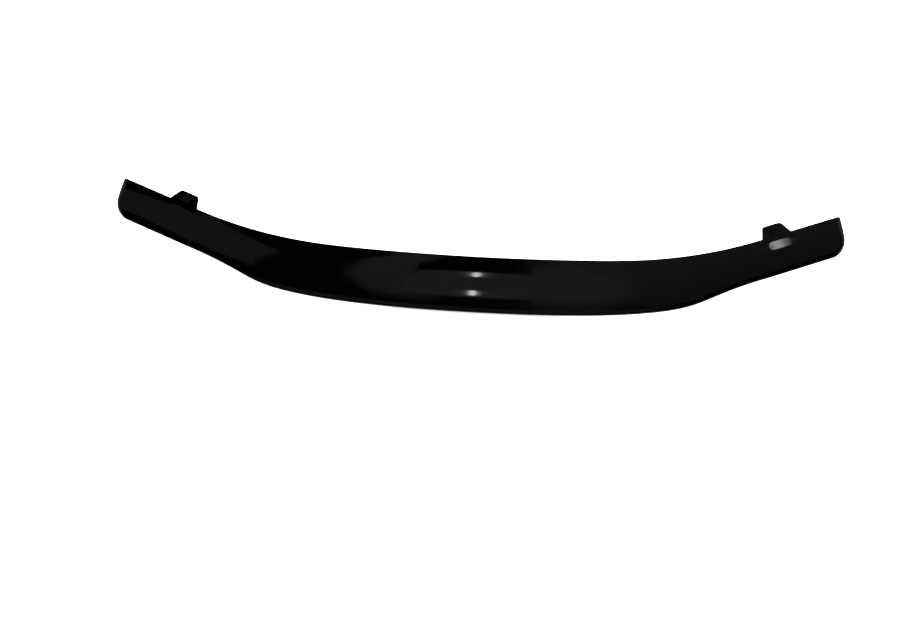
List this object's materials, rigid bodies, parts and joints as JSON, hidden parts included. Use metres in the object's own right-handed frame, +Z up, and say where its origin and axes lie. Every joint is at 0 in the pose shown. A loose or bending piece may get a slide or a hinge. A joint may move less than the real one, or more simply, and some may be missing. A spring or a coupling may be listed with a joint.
{
  "type": "hood bug deflector",
  "caption": "Gloss-black moulded hood bug deflector, bowed to follow the front of a hood, with two bushed mounting ears, foam mounting tape and rubber bumpers.",
  "frame": {"origin": "middle of the rear face of the centre mounting tape, where the shield seats on the hood's nose", "axes": "the frame it has on the vehicle: +X across to the right as seen from the front, +Y rearwards, +Z up"},
  "size_m": [1.364, 0.2217, 0.1381],
  "materials": {
    "gloss_acrylic": "high gloss black",
    "black_rubber": "matt",
    "foam_tape": "matt foam"
  },
  "bodies": {
    "root": {"hood_shield": "gloss_acrylic", "ear_bush_right": "black_rubber", "ear_bush_left": "black_rubber", "mounting_tape_centre": "foam_tape", "mounting_tape_right": "foam_tape", "mounting_tape_left": "foam_tape", "rubber_bumpers": "black_rubber"}
  },
  "joints": []
}
